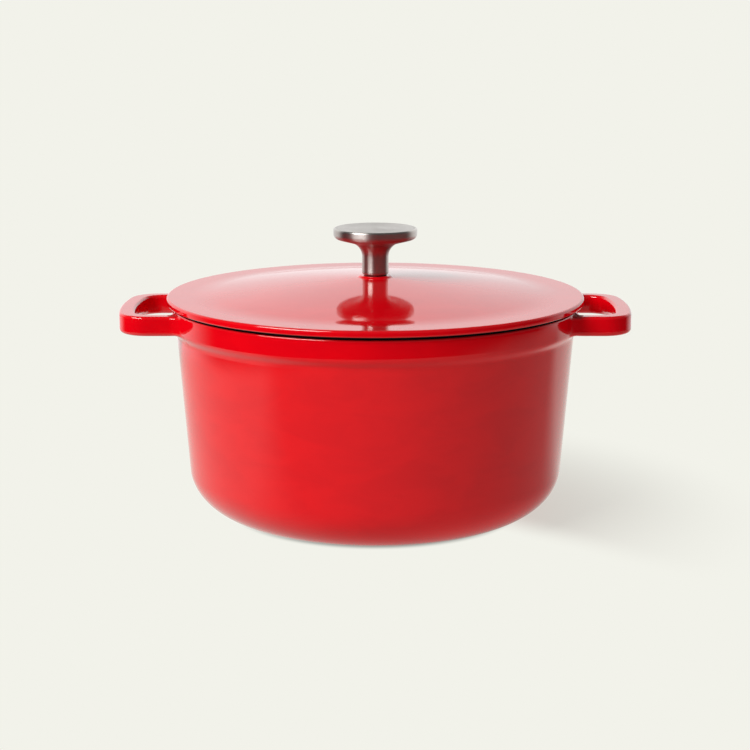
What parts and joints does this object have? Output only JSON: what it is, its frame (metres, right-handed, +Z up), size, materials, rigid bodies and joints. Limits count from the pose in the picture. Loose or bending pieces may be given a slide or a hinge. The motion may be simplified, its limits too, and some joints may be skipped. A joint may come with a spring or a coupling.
{
  "type": "dutch oven",
  "caption": "Round enamelled cast iron cooking pot with cast loop handles and a low domed lift-off lid with a steel knob.",
  "frame": {"origin": "centre of the flat underside that the pot stands on", "axes": "+Z up, X through the two handles, Y across them"},
  "size_m": [0.3206, 0.262, 0.1812],
  "materials": {
    "red_enamel": "glossy red vitreous enamel, fused to the iron",
    "cream_enamel": "glossy cream vitreous enamel inside the pot and under the lid",
    "black_enamel": "semi-matte black ground coat on the rims",
    "brushed_stainless": "turned and brushed stainless steel",
    "plain_stainless": "plain stainless steel fasteners",
    "black_silicone": "matte black silicone"
  },
  "bodies": {
    "pot": {"pot": "red_enamel"},
    "lid": {"lid": "red_enamel", "knob": "brushed_stainless", "knob_gasket": "black_silicone", "knob_screw": "plain_stainless", "knob_washer": "plain_stainless", "lock_washer": "plain_stainless"}
  },
  "joints": [
    {"name": "lid_lift", "type": "slide", "parent": "pot", "child": "lid", "axis": [0, 0, 1], "range_m": [0, 0.2]}
  ]
}
